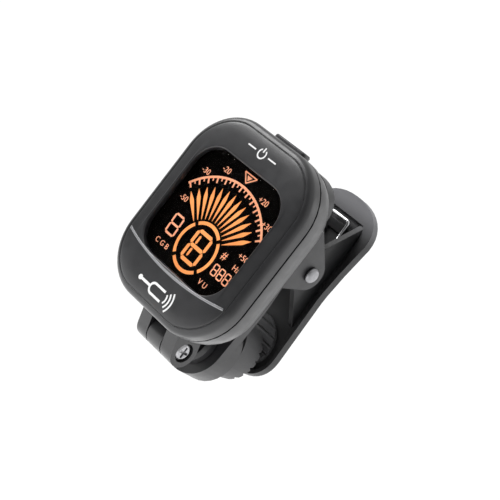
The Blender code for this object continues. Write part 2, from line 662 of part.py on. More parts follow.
def comb_side(base, face, centre_z, half, rib_depth):
    """Side view (y, z) of a ribbed pad, with a flat rib at its centre."""
    direction = 1 if face > base else -1
    groove = face - direction * rib_depth
    slope = (RIB_PITCH - RIB_FLAT) / 2
    count = int(half / RIB_PITCH) + 1
    ribs = []
    for i in range(-count, count + 1):
        mid = centre_z + i * RIB_PITCH
        ribs += [(groove, mid - RIB_PITCH / 2), (face, mid - RIB_PITCH / 2 + slope),
                 (face, mid + RIB_PITCH / 2 - slope)]
    ribs.append((groove, centre_z + (count + 0.5) * RIB_PITCH))
    return [(base, ribs[-1][1]), (base, ribs[0][1])] + ribs


def make_front_pad(finish):
    """Thick round rubber pad with a ribbed face."""
    pad = prism("front_pad", comb_side(PAD_BASE_Y, 0.0, 0.0, PAD_BASE_RADIUS, RIB_DEPTH), "x",
                -PAD_BASE_RADIUS, PAD_BASE_RADIUS, finish)
    boolean(pad, turned("front_pad_plan", [(PAD_BASE_RADIUS, PAD_BASE_Y - MM), (PAD_RADIUS, MM)],
                        "y", (0, 0, 0)), "INTERSECT")
    return pad


def make_rear_pad(finish, parent):
    """Thin ribbed pad whose back follows the sloping floor of the rear arm's tray."""
    side = comb_side(rear_back(REAR_PAD_Z), REAR_PAD_FACE_Y, REAR_PAD_Z, REAR_PAD_RADIUS,
                     REAR_RIB_DEPTH)
    pad = prism("rear_pad", side, "x", -PAD_RADIUS, PAD_RADIUS, finish, parent)
    boolean(pad, disc("rear_pad_plan", REAR_PAD_RADIUS, "y", (0, 0, REAR_PAD_Z), -THROUGH,
                      THROUGH, None, parent), "INTERSECT")
    floor = rear_side(REAR_PLATE + REAR_PAD_SEAT, -THROUGH)
    boolean(pad, prism("rear_pad_floor", floor, "x", -REAR_HALF, REAR_HALF, None, parent))
    return pad


def rear_back(z):
    """Depth of the rear arm's back surface, straight on each side of the knee."""
    (low_y, low_z), (knee_y, knee_z), (high_y, high_z) = REAR_BACK
    if z < knee_z:
        return knee_y + (low_y - knee_y) * (knee_z - z) / (knee_z - low_z)
    return knee_y + (high_y - knee_y) * (z - knee_z) / (high_z - knee_z)


def rear_side(depth_front, depth_back):
    """Side view (y, z) of a layer of the rear arm between two depths from its back."""
    knee_z = REAR_BACK[1][1]
    heights = (knee_z - THROUGH, knee_z, knee_z + THROUGH)
    return ([(rear_back(z) - depth_front, z) for z in heights]
            + [(rear_back(z) - depth_back, z) for z in heights[::-1]])


def rear_outline(inset):
    """Rear arm seen from the front: domed at both ends and wider at the lever."""
    jaw = dome(REAR_HALF - inset, REAR_JAW_HEIGHT - inset, REAR_JAW_Z, True)
    lever = dome(REAR_LEVER_HALF - inset, REAR_TOP_HEIGHT - inset, REAR_TOP_Z - REAR_TOP_HEIGHT)
    waist = REAR_HALF - inset
    return (jaw + [(waist, 21.0 * MM), (waist + 0.5 * MM, 29.0 * MM)] + lever
            + [(-waist - 0.5 * MM, 29.0 * MM), (-waist, 21.0 * MM)])


def rear_pocket_outline():
    """Outline of the tray: round at the jaw, tapering beside the ears up to the thumb plate."""
    jaw = dome(REAR_HALF - REAR_RIM, REAR_JAW_HEIGHT - REAR_RIM, REAR_JAW_Z, True)
    side = [(REAR_HALF - REAR_RIM, 21.0 * MM)] + list(POCKET_TOP)
    return jaw + side + [(-x, z) for x, z in side[::-1]]


def make_rear_arm(finish, parent):
    """Rear arm: a rimmed tray with inner ears, a thumb plate and a seat for the spring."""
    arm = prism("rear_arm", rear_side(REAR_DEPTH, 0.0), "x", -REAR_LEVER_HALF - MM,
                REAR_LEVER_HALF + MM, finish, parent)
    boolean(arm, prism("rear_arm_plan", rear_outline(0.0), "y", -THROUGH, THROUGH, None,
                       parent), "INTERSECT")
    pocket = prism("rear_pocket", rear_side(2 * REAR_DEPTH, REAR_PLATE), "x",
                   -REAR_LEVER_HALF, REAR_LEVER_HALF, None, parent)
    boolean(pocket, prism("rear_pocket_plan", rear_pocket_outline(), "y", -THROUGH, THROUGH,
                          None, parent), "INTERSECT")
    boolean(arm, pocket)
    ear = hull(circle_points((PIN_Y, PIN_Z), REAR_EAR_RADIUS)
               + [REAR_EAR_FOOT, REAR_EAR_TOP])
    for name, low, high in (("left", -REAR_EAR_X[1], -REAR_EAR_X[0]),
                            ("right", REAR_EAR_X[0], REAR_EAR_X[1])):
        boolean(arm, prism(f"rear_ear_{name}", ear, "x", low, high, None, parent), "UNION")
    seat = [(2.8 * MM, 35.9 * MM), (1.3 * MM, 36.2 * MM), (0.9 * MM, 38.4 * MM),
            (2.8 * MM, 38.6 * MM)]
    boolean(arm, prism("spring_seat", seat, "x", -SEAT_HALF, SEAT_HALF, None, parent), "UNION")
    boolean(arm, disc("rear_pin_bore", PIN_RADIUS + GAP, "x", (0, PIN_Y, PIN_Z), -THROUGH,
                      THROUGH, None, parent))
    return arm


def make_pin(mats):
    """Pivot pin with a domed head at each end."""
    head_inner = ARM_HALF + GAP
    half = [(PIN_RADIUS, head_inner), (PIN_HEAD_RADIUS, head_inner),
            (PIN_HEAD_RADIUS, head_inner + 0.35 * MM), (1.5 * MM, PIN_HALF - 0.15 * MM),
            (0.7 * MM, PIN_HALF)]
    profile = [(radius, -along) for radius, along in half[::-1]] + half
    turned("pivot_pin", profile, "x", (0, PIN_Y, PIN_Z), mats["pin"], None, 28)


def coil_run(start_angle, end_angle, start_x, end_x):
    """Points of one coil about the pin, from one tangent leg to the other."""
    count = max(8, int(abs(end_angle - start_angle) / (math.pi / 6)))
    points = []
    for i in range(count + 1):
        t = i / count
        angle = start_angle + (end_angle - start_angle) * t
        points.append((start_x + (end_x - start_x) * t,
                       PIN_Y + COIL_RADIUS * math.cos(angle),
                       PIN_Z + COIL_RADIUS * math.sin(angle)))
    return points


def tangent_angle(target, turn_sign):
    """Angle on the coil where a straight leg to a target (y, z) leaves it."""
    dy = target[0] - PIN_Y
    dz = target[1] - PIN_Z
    reach = math.hypot(dy, dz)
    return math.atan2(dz, dy) + turn_sign * math.acos(COIL_RADIUS / reach)


def make_spring(finish):
    """Double torsion spring: two coils, a cross bar on the rear lever, two front legs."""
    rear_angle = tangent_angle(REAR_KNEE, -1)
    front_angle = tangent_angle(FRONT_LEG_END, 1) - 4 * math.pi
    outer_x = COIL_START_X + COIL_PITCH * abs(rear_angle - front_angle) / (2 * math.pi)
    coil = coil_run(front_angle, rear_angle, outer_x, COIL_START_X)
    corner = 0.7 * MM
    bar_y, bar_z = REAR_BAR
    bend = [(COIL_START_X, *REAR_KNEE),
            (COIL_START_X, bar_y, bar_z - corner),
            (COIL_START_X - 0.3 * corner, bar_y, bar_z - 0.3 * corner),
            (COIL_START_X - corner, bar_y, bar_z)]
    side = [(outer_x, *FRONT_LEG_END)] + coil + bend
    other = [(-x, y, z) for x, y, z in side[::-1]]
    curve = bpy.data.curves.new("torsion_spring", "CURVE")
    curve.dimensions = "3D"
    curve.bevel_depth = WIRE_RADIUS
    curve.bevel_resolution = 2
    curve.use_fill_caps = True
    route = side + other
    spline = curve.splines.new("POLY")
    spline.points.add(len(route) - 1)
    for point, place in zip(spline.points, route):
        point.co = (*place, 1.0)
    curve.materials.append(finish)
    spring = bpy.data.objects.new("torsion_spring", curve)
    bpy.context.collection.objects.link(spring)


# ---------------------------------------------------------------- assembly

def make_materials():
    """Finishes of the pieces."""
    return {
        "body": material("black_plastic", (0.032, 0.032, 0.034), 0.5),
        "button": material("button_plastic", (0.045, 0.045, 0.048), 0.4),
        "trim": material("silver_trim", (0.55, 0.55, 0.56), 0.35, 0.9),
        "window": material("smoked_window", (0.01, 0.01, 0.012), 0.08),
        "lcd": material("lcd_glass", (0.012, 0.008, 0.006), 0.2),
        "diffuser": material("white_diffuser", (0.8, 0.78, 0.74), 0.5),
        "strip": material("grey_elastomer", (0.2, 0.2, 0.22), 0.8),
        "board": material("green_board", (0.02, 0.16, 0.06), 0.45),
        "blob": material("black_epoxy", (0.01, 0.01, 0.01), 0.35),
        "switch": material("switch_body", (0.3, 0.3, 0.32), 0.4, 0.5),
        "brass": material("sensor_brass", (0.72, 0.52, 0.22), 0.3, 1.0),
        "steel": material("plated_steel", (0.62, 0.62, 0.64), 0.28, 1.0),
        "pin": material("pin_steel", (0.66, 0.66, 0.68), 0.3, 1.0),
        "wire": material("spring_steel", (0.6, 0.6, 0.62), 0.25, 1.0),
        "rubber": material("black_rubber", (0.028, 0.028, 0.03), 0.8),
    }


def main():
    """Build every piece in its place."""
    clear_scene()
    mats = make_materials()
    jaw_axis = axis_empty("jaw_axis", (0.0, PIN_Y, PIN_Z))
    swivel_axis = axis_empty("swivel_axis", (0.0, SWIVEL_Y[1], SWIVEL_Z))
    tilt_axis = axis_empty("tilt_axis", (0.0, HINGE_Y, HINGE_Z), swivel_axis)
    button_axis = axis_empty("button_axis", (0.0, BUTTON_Y, BUTTON_TOP), tilt_axis)
    cover_axis = axis_empty("cover_axis", (0.0, BACK_Y, CELL_Z), tilt_axis)

    make_front_shell(mats["body"], tilt_axis)
    make_rear_shell(mats["body"], tilt_axis)
    prism("trim_strip", trim_outline(TRIM_WIDTH - GAP), "y", FACE_Y + 0.1 * MM,
          FACE_Y + 0.7 * MM, mats["trim"], tilt_axis)
    make_display(mats, tilt_axis)
    make_electronics(mats, tilt_axis)
    make_case_screws(mats["steel"], tilt_axis)
    make_hinge_hardware(mats["steel"], tilt_axis)
    make_cover(mats["body"], cover_axis)
    make_button(mats["button"], button_axis)
    make_swivel(mats, swivel_axis)
    make_front_arm(mats["body"])
    make_front_pad(mats["rubber"])
    make_pin(mats)
    make_spring(mats["wire"])
    make_rear_arm(mats["body"], jaw_axis)
    make_rear_pad(mats["rubber"], jaw_axis)


main()
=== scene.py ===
import json
import math

import bmesh
import bpy
from mathutils import Matrix, Vector

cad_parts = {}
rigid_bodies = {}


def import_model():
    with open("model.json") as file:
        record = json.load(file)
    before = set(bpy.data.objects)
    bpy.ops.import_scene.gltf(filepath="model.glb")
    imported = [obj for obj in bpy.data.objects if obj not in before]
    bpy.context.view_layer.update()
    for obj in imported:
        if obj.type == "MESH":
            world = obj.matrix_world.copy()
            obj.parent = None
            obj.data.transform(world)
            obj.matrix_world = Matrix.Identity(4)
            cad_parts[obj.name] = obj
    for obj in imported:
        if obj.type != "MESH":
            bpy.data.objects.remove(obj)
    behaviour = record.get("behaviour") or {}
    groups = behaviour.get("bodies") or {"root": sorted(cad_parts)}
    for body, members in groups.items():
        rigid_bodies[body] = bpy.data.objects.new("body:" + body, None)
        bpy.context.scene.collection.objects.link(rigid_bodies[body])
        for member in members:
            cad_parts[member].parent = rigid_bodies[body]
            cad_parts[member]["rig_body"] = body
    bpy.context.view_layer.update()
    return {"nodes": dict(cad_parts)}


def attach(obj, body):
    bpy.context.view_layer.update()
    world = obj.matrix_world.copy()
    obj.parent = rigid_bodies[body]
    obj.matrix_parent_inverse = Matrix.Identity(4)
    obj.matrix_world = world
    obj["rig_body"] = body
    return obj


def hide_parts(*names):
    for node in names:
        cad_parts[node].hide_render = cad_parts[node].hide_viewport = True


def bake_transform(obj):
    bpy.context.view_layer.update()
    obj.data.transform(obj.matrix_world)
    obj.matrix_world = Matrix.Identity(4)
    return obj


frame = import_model()

MM = 0.001
FACE_Y = -34.9 * MM
PARTING_Y = -30.3 * MM
HEAD_SIZE = (40.2 * MM, 47.1 * MM)
HEAD_CORNER = 12.9 * MM
HEAD_Z = 21.15 * MM
WINDOW_SIZE = (29.9 * MM, 27.9 * MM)
WINDOW_CORNER = 6.5 * MM
WINDOW_Z = 21.8 * MM
DIAL_Z = 15.0 * MM
DIAL_Y = -32.76 * MM
PIN_Y = -6.7 * MM
PIN_Z = 25.0 * MM

# window reveal: growth of the window's outline and depth behind the face, in mm
WINDOW_REVEAL = ((0.35, 0.0), (0.22, 0.03), (0.1, 0.12), (0.02, 0.3), (0.0, 0.5), (0.0, 1.7))
REVEAL_MARGIN = 0.35 * MM
CROWN_INSET = 4.5
CROWN_DROP = 0.16
# lens: shrinkage of the window's outline and depth, in mm
LENS_PROFILE = ((0.3, -33.25), (0.3, -34.0), (0.36, -34.1), (0.5, -34.15))

TRIM_RADIUS = 78.0 * MM
TRIM_LOW_Z = HEAD_Z - 14.15 * MM
TRIM_HALF_SPAN = 18.0 * MM
TRIM_WIDTH = 0.52 * MM

GRAPHIC_DEPTH = 0.05 * MM
NEEDLES_PER_SIDE = 6
NEEDLE_STEP = 8.75
# needle: distance from the dial's centre and half width, in mm
NEEDLE_PROFILE = ((6.7, 0.05), (8.5, 0.24), (11.6, 0.5), (12.3, 0.5), (14.3, 0.03))
RING_RADII = (5.4 * MM, 6.2 * MM)
RING_GAP = 9
SCALE_RADII = (16.5 * MM, 17.05 * MM)
SCALE_HALF_ANGLE = 54
TICK_TOP = 16.55 * MM
LONG_TICK = (15.3 * MM, 0.42 * MM)
SHORT_TICK = (15.85 * MM, 0.3 * MM)

WIRE_RADIUS = 0.45 * MM
COIL_RADIUS = 2.4 * MM
COIL_START_X = 3.1 * MM
COIL_PITCH = 0.95 * MM
SPRING_CORNER = 0.8 * MM
SPRING_BAR = (0.95 * MM, 39.7 * MM)
SPRING_KNEE = (1.2 * MM, 34.6 * MM)
SPRING_FRONT_END = (-14.5 * MM, 37.0 * MM)

CAMERA_PLACE = (215.86 * MM, -276.59 * MM, 39.9 * MM)
CAMERA_RIGHT = (0.58609, 0.53319, 0.61009)
CAMERA_DOWN = (0.49736, 0.35767, -0.79038)
CAMERA_AHEAD = (-0.63964, 0.76667, -0.05556)
OBJECT_CENTRE = (0.0, -15.0 * MM, 20.0 * MM)
FLOOR_Z = -75.0 * MM
FLOOR_HALF = 240.0 * MM


# ---------------------------------------------------------------- materials

def nodes_of(name):
    """A new material with its node tree and Principled shader."""
    made = bpy.data.materials.new(name)
    made.use_nodes = True
    tree = made.node_tree
    return made, tree, tree.nodes["Principled BSDF"]


def object_noise(tree, scale, detail=3.0, roughness=0.55, stretch=(1.0, 1.0, 1.0)):
    """Noise in the piece's own coordinates, optionally stretched along an axis."""
    place = tree.nodes.new("ShaderNodeTexCoord")
    mapping = tree.nodes.new("ShaderNodeMapping")
    mapping.inputs["Scale"].default_value = stretch
    noise = tree.nodes.new("ShaderNodeTexNoise")
    noise.inputs["Scale"].default_value = scale
    noise.inputs["Detail"].default_value = detail
    noise.inputs["Roughness"].default_value = roughness
    tree.links.new(place.outputs["Object"], mapping.inputs["Vector"])
    tree.links.new(mapping.outputs["Vector"], noise.inputs["Vector"])
    return noise.outputs["Fac"]


def ramp(tree, value, low, high, start=0.3, end=0.7):
    """Turn a 0 to 1 value into a colour between two limits."""
    node = tree.nodes.new("ShaderNodeValToRGB")
    node.color_ramp.elements[0].position = start
    node.color_ramp.elements[1].position = end
    node.color_ramp.elements[0].color = low
    node.color_ramp.elements[1].color = high
    tree.links.new(value, node.inputs["Fac"])
    return node.outputs["Color"]


def grey(value):
    """An opaque grey."""
    return (value, value, value, 1.0)


def bumped(tree, shader, heights, strength, distance):
    """Chain bump nodes, one for each height, into the shader's normal."""
    normal = None
    for height, share in heights:
        bump = tree.nodes.new("ShaderNodeBump")
        bump.inputs["Strength"].default_value = strength * share
        bump.inputs["Distance"].default_value = distance
        tree.links.new(height, bump.inputs["Height"])
        if normal:
            tree.links.new(normal, bump.inputs["Normal"])
        normal = bump.outputs["Normal"]
    tree.links.new(normal, shader.inputs["Normal"])


def moulded(name, base, rough, grain=5200, bump=0.16, spread=0.25, specular=0.5):
    """Moulded plastic: fine spark-eroded grain, faint flow marks and uneven polish."""
    made, tree, shader = nodes_of(name)
    flow = object_noise(tree, 90, 4.0)
    low = tuple(c * (1 - spread) for c in base) + (1.0,)
    high = tuple(c * (1 + spread) for c in base) + (1.0,)
    tree.links.new(ramp(tree, flow, low, high), shader.inputs["Base Color"])
    polish = object_noise(tree, 320, 5.0, 0.65)
    tree.links.new(ramp(tree, polish, grey(rough - 0.05), grey(rough + 0.07)),
                   shader.inputs["Roughness"])
    bumped(tree, shader, [(object_noise(tree, grain, 2.0), 1.0),
                          (object_noise(tree, 700, 2.0), 0.3)], bump, 0.00005)
    shader.inputs["Specular IOR Level"].default_value = specular
    return made


def metal(name, base, rough, stretch=(1.0, 1.0, 1.0)):
    """Plated or drawn metal with fine tool marks and uneven shine."""
    made, tree, shader = nodes_of(name)
    shader.inputs["Metallic"].default_value = 1.0
    marks = object_noise(tree, 2500, 4.0, 0.6, stretch)
    low = tuple(c * 0.85 for c in base) + (1.0,)
    high = tuple(min(1.0, c * 1.08) for c in base) + (1.0,)
    tree.links.new(ramp(tree, marks, low, high), shader.inputs["Base Color"])
    tree.links.new(ramp(tree, object_noise(tree, 600, 4.0), grey(rough - 0.06),
                        grey(rough + 0.1)), shader.inputs["Roughness"])
    bumped(tree, shader, [(marks, 1.0)], 0.08, 0.00004)
    return made


def rubber(name, base):
    """Matt rubber: pebbled grain with a dusty bloom."""
    made, tree, shader = nodes_of(name)
    bloom = object_noise(tree, 260, 5.0, 0.7)
    high = tuple(c * 1.7 for c in base) + (1.0,)
    tree.links.new(ramp(tree, bloom, base + (1.0,), high, 0.4, 0.8),
                   shader.inputs["Base Color"])
    tree.links.new(ramp(tree, bloom, grey(0.62), grey(0.8)), shader.inputs["Roughness"])
    bumped(tree, shader, [(object_noise(tree, 4200, 3.0), 1.0),
                          (object_noise(tree, 900, 2.0), 0.6)], 0.35, 0.00006)
    shader.inputs["Sheen Weight"].default_value = 0.15
    shader.inputs["Sheen Roughness"].default_value = 0.5
    return made


def glow(name, low, high, strength):
    """Backlit display segments, a little uneven like the light behind them."""
    made, tree, shader = nodes_of(name)
    patch = object_noise(tree, 160, 2.0)
    colour = ramp(tree, patch, low + (1.0,), high + (1.0,))
    tree.links.new(colour, shader.inputs["Base Color"])
    tree.links.new(colour, shader.inputs["Emission Color"])
    tree.links.new(ramp(tree, object_noise(tree, 3000, 2.0), grey(0.45), grey(0.6)),
                   shader.inputs["Roughness"])
    shader.inputs["Emission Strength"].default_value = strength
    shader.inputs["Specular IOR Level"].default_value = 0.1
    return made


def clear_lens(name):
    """Clear acrylic with the faintest wipe marks."""
    made, tree, shader = nodes_of(name)
    smear = object_noise(tree, 240, 5.0, 0.7)
    tree.links.new(ramp(tree, smear, grey(0.0), grey(0.02), 0.45, 0.8),
                   shader.inputs["Roughness"])
    tree.links.new(ramp(tree, smear, (0.93, 0.92, 0.91, 1.0), (0.97, 0.965, 0.96, 1.0)),
                   shader.inputs["Base Color"])
    shader.inputs["Transmission Weight"].default_value = 1.0
    shader.inputs["IOR"].default_value = 1.07
    shader.inputs["Specular IOR Level"].default_value = 0.1
    return made


def lever_painted_light(name):
    """Dark matt plastic, painted very dark low down as the shade in the lever's hollow and
    paler towards its end as a painted highlight.
    """
    made, tree, shader = nodes_of(name)
    place = tree.nodes.new("ShaderNodeTexCoord")
    split = tree.nodes.new("ShaderNodeSeparateXYZ")
    tree.links.new(place.outputs["Object"], split.inputs["Vector"])
    # painted light by height: darkest low down, a painted shade in the lever's hollow; paler
    # towards the lever's end, a painted highlight
    height = tree.nodes.new("ShaderNodeMapRange")
    height.interpolation_type = "SMOOTHSTEP"
    height.inputs["From Min"].default_value = 0.037
    height.inputs["From Max"].default_value = 0.0455
    tree.links.new(split.outputs["Z"], height.inputs["Value"])
    cloud = object_noise(tree, 150, 4.0)
    mottle_and_painted_light = tree.nodes.new("ShaderNodeMath")
    mottle_and_painted_light.operation = "MULTIPLY_ADD"
    mottle_and_painted_light.inputs[1].default_value = 0.16
    tree.links.new(cloud, mottle_and_painted_light.inputs[0])
    tree.links.new(height.outputs["Result"], mottle_and_painted_light.inputs[2])
    tree.links.new(ramp(tree, mottle_and_painted_light.outputs["Value"], (0.009, 0.009, 0.0098, 1.0),
                        (0.17, 0.17, 0.18, 1.0), 0.1, 1.05), shader.inputs["Base Color"])
    tree.links.new(ramp(tree, object_noise(tree, 320, 5.0, 0.65), grey(0.44), grey(0.56)),
                   shader.inputs["Roughness"])
    bumped(tree, shader, [(object_noise(tree, 5200, 2.0), 1.0),
                          (object_noise(tree, 700, 2.0), 0.3)], 0.16, 0.00005)
    shader.inputs["Specular IOR Level"].default_value = 0.4
    return made


def circuit(name):
    """Green board with copper traces under the mask and pale pads."""
    made, tree, shader = nodes_of(name)
    place = tree.nodes.new("ShaderNodeTexCoord")
    cells = tree.nodes.new("ShaderNodeTexVoronoi")
    cells.feature = "DISTANCE_TO_EDGE"
    cells.inputs["Scale"].default_value = 420
    tree.links.new(place.outputs["Object"], cells.inputs["Vector"])
    traces = ramp(tree, cells.outputs["Distance"], (0.03, 0.3, 0.1, 1.0),
                  (0.012, 0.12, 0.045, 1.0), 0.06, 0.1)
    tree.links.new(traces, shader.inputs["Base Color"])
    tree.links.new(ramp(tree, object_noise(tree, 900, 3.0), grey(0.3), grey(0.45)),
                   shader.inputs["Roughness"])
    bumped(tree, shader, [(cells.outputs["Distance"], 1.0)], 0.3, 0.00003)
    return made


FINISH = {
    "body": moulded("charcoal_plastic", (0.017, 0.017, 0.0185), 0.34),
    "inner": moulded("clip_plastic", (0.014, 0.014, 0.0155), 0.42),
    # rear lever: colour painted darker low down as shade and paler at its end as a highlight
    "tray": lever_painted_light("lever_painted_light"),
    "button": moulded("button_plastic", (0.03, 0.03, 0.032), 0.34),
    "trim": metal("satin_silver", (0.30, 0.30, 0.31), 0.38, (1.0, 60.0, 60.0)),
    "lens": clear_lens("clear_acrylic"),
    "lcd": moulded("display_black", (0.0014, 0.0009, 0.0008), 0.35, bump=0.01, specular=0.03),
    "amber": glow("amber_segment", (0.70, 0.25, 0.075), (0.80, 0.31, 0.10), 0.72),
    "peach": glow("peach_segment", (0.64, 0.27, 0.15), (0.74, 0.34, 0.20), 0.7),
    "print": moulded("white_print", (0.78, 0.78, 0.78), 0.5, bump=0.05, spread=0.03),
    "diffuser": moulded("milk_acrylic", (0.78, 0.75, 0.7), 0.45, spread=0.04),
    "strip": rubber("zebra_strip", (0.16, 0.16, 0.17)),
    "board": circuit("solder_mask"),
    "blob": moulded("epoxy_blob", (0.012, 0.012, 0.012), 0.3, grain=900),
    "switch": metal("switch_can", (0.55, 0.55, 0.56), 0.35),
    "brass": metal("sensor_brass", (0.78, 0.56, 0.26), 0.3),
    "steel": metal("plated_steel", (0.36, 0.36, 0.37), 0.32),
    "pin": metal("pin_steel", (0.27, 0.27, 0.28), 0.42, (60.0, 1.0, 1.0)),
    "wire": metal("spring_wire", (0.74, 0.74, 0.75), 0.18),
    "rubber": rubber("grip_rubber", (0.019, 0.019, 0.0205)),
}


# ---------------------------------------------------------------- mesh helpers

def piece_from(name, verts, faces, finish, smooth=True):
    """A new closed piece from points and faces."""
    mesh = bpy.data.meshes.new(name)
    mesh.from_pydata(verts, [], faces)
    work = bmesh.new()
    work.from_mesh(mesh)
    bmesh.ops.remove_doubles(work, verts=work.verts, dist=1e-7)
    bmesh.ops.recalc_face_normals(work, faces=work.faces)
    work.to_mesh(mesh)
    work.free()
    return finished(name, mesh, finish, smooth)


def finished(name, mesh, finish, smooth=True):
    """Link a mesh as an object with its finish."""
    mesh.materials.clear()
    mesh.materials.append(FINISH[finish])
    if smooth:
        mesh.shade_smooth()
    item = bpy.data.objects.new(name, mesh)
    bpy.context.scene.collection.objects.link(item)
    return item


def placed(item, body, finish, *nodes):
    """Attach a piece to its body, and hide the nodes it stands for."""
    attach(item, body)
    if nodes:
        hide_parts(*nodes)


def soften(item, width, segments=3, angle=28):
    """Round the sharp edges and even the shading."""
    bevel = item.modifiers.new("rounded_edges", "BEVEL")
    bevel.width = width
    bevel.segments = segments
    bevel.limit_method = "ANGLE"
    bevel.angle_limit = math.radians(angle)
    bevel.miter_outer = "MITER_ARC"
    even = item.modifiers.new("even_shading", "WEIGHTED_NORMAL")
    even.keep_sharp = False
    even.weight = 80


def refined(node, name, finish, width):
    """A copy of a solid with merged faces and rounded edges, standing for that node."""
    source = frame["nodes"][node]
    mesh = source.data.copy()
    work = bmesh.new()
    work.from_mesh(mesh)
    bmesh.ops.remove_doubles(work, verts=work.verts, dist=3e-6)
    bmesh.ops.dissolve_limit(work, angle_limit=math.radians(1.2), verts=work.verts,
                             edges=work.edges)
    work.to_mesh(mesh)
    work.free()
    for attribute in ("sharp_edge", "sharp_face", "custom_normal"):
        if attribute in mesh.attributes:
            mesh.attributes.remove(mesh.attributes[attribute])
    item = finished(name, mesh, finish)
    soften(item, width)
    placed(item, source["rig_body"], finish, node)


def rounded_rect(size, radius, centre_z, steps=16):
    """Corner arcs of a rounded rectangle, in order round it."""
    points = []
    for corner in range(4):
        side_x = 1 if corner in (0, 3) else -1
        side_z = 1 if corner in (0, 1) else -1
        mid_x = side_x * (size[0] / 2 - radius)
        mid_z = centre_z + side_z * (size[1] / 2 - radius)
        for i in range(steps + 1):
            angle = (corner + i / steps) * math.pi / 2
            points.append((mid_x + radius * math.cos(angle), mid_z + radius * math.sin(angle)))
    return points


def head_outline(inset):
    """The head's outline shrunk by an inset."""
    size = (HEAD_SIZE[0] - 2 * inset, HEAD_SIZE[1] - 2 * inset)
    return rounded_rect(size, HEAD_CORNER - inset, HEAD_Z)


def window_outline(grow):
    """The window's outline grown by a margin."""
    size = (WINDOW_SIZE[0] + 2 * grow, WINDOW_SIZE[1] + 2 * grow)
    return rounded_rect(size, WINDOW_CORNER + grow, WINDOW_Z)


def joined_rings(rings, closed):
    """Points and faces that join rings of equal length, capped or closed on themselves."""
    count = len(rings[0])
    verts = [point for ring in rings for point in ring]
    faces = []
    total = len(rings)
    for level in range(total if closed else total - 1):
        low = level * count
        high = (level + 1) % total * count
        for i in range(count):
            j = (i + 1) % count
            faces.append([low + i, low + j, high + j, high + i])
    if not closed:
        faces.append(list(range(count))[::-1])
        faces.append([(total - 1) * count + i for i in range(count)])
    return verts, faces


# ---------------------------------------------------------------- head

# distance in from the head's outline and how far the face falls back there, in mm
FACE_ROLL = [(0.0, 4.3), (0.0, 3.0), (0.0, 2.2), (0.07, 1.75), (0.22, 1.35), (0.48, 1.0),
             (0.8, 0.78), (1.15, 0.64), (1.4, 0.6), (1.48, 0.72), (1.62, 0.72), (1.7, 0.54),
             (2.1, 0.44), (2.8, 0.33), (3.6, 0.24), (CROWN_INSET, CROWN_DROP)]


def face_drop(x, z):
    """How far the crowned face lies behind its foremost plane at a point."""
    across = abs(x) - HEAD_SIZE[0] / 2 + HEAD_CORNER
    along = abs(z - HEAD_Z) - HEAD_SIZE[1] / 2 + HEAD_CORNER
    outside = math.hypot(max(across, 0.0), max(along, 0.0)) + min(max(across, along), 0.0)
    inset = (HEAD_CORNER - outside) / MM
    for (near, high), (far, low) in zip(FACE_ROLL, FACE_ROLL[1:]):
        if near <= inset < far:
            return (high + (low - high) * (inset - near) / (far - near)) * MM
    reach = min(1.0, max(0.0, (inset - CROWN_INSET) / 2.0))
    return CROWN_DROP * (1.0 - reach) * MM


def make_face_shell():
    """Crowned face: side band, rolled edge, gentle crown and a bevelled window reveal."""
    rings = [[(x, FACE_Y + rise * MM, z) for x, z in head_outline(inset * MM)]
             for inset, rise in FACE_ROLL]
    outer = head_outline(CROWN_INSET * MM)
    rim = window_outline(REVEAL_MARGIN)
    for t, rise in ((0.35, 0.09), (0.7, 0.03), (0.94, 0.0)):
        rings.append([((1 - t) * a[0] + t * b[0], FACE_Y + rise * MM, (1 - t) * a[1] + t * b[1])
                      for a, b in zip(outer, rim)])
    for grow, rise in WINDOW_REVEAL:
        rings.append([(x, FACE_Y + rise * MM, z) for x, z in window_outline(grow * MM)])
    rings.append([(x, FACE_Y + 1.7 * MM, z) for x, z in window_outline(0.7 * MM)])
    for inset, y in ((3.4, FACE_Y + 1.8 * MM), (1.6, FACE_Y + 2.8 * MM),
                     (1.5, PARTING_Y - 0.3 * MM)):
        rings.append([(x, y, z) for x, z in head_outline(inset * MM)])
    verts, faces = joined_rings(rings, True)
    shell = piece_from("face_shell", verts, faces, "body")
    soften(shell, 0.04 * MM, 2, 50)
    placed(shell, "head", "body", "front_shell")


def make_lens():
    """Clear window with a polished chamfer."""
    rings = [[(x, y * MM, z) for x, z in window_outline(-grow * MM)]
             for grow, y in LENS_PROFILE]
    lens = piece_from("display_lens", *joined_rings(rings, False), "lens", smooth=False)
    placed(lens, "head", "lens", "display_window")


def band(centre_z, radius, width, half_span, depth, proud, steps=48):
    """A closed strip that follows an arc across the face and the face's own crown."""
    span = math.asin(half_span / radius)
    rings = []
    for i in range(steps + 1):
        a = -span + 2 * span * i / steps
        across = []
        for side, lift in ((-1, -depth), (-1, 0.4 * proud), (-0.6, proud), (0.6, proud),
                           (1, 0.4 * proud), (1, -depth)):
            r = radius + side * width / 2
            x, z = r * math.sin(a), centre_z - r * math.cos(a)
            across.append((x, FACE_Y + face_drop(x, z) - lift, z))
        rings.append(across)
    return joined_rings(rings, False)


def make_trim():
    """Silver trim line below the window."""
    verts, faces = band(TRIM_LOW_Z + TRIM_RADIUS, TRIM_RADIUS, TRIM_WIDTH, TRIM_HALF_SPAN,
                        depth=0.3 * MM, proud=0.06 * MM)
    strip = piece_from("trim_band", verts, faces, "trim")
    strip.data.set_sharp_from_angle(angle=math.radians(40))
    placed(strip, "head", "trim", "trim_strip")


# ---------------------------------------------------------------- display graphics

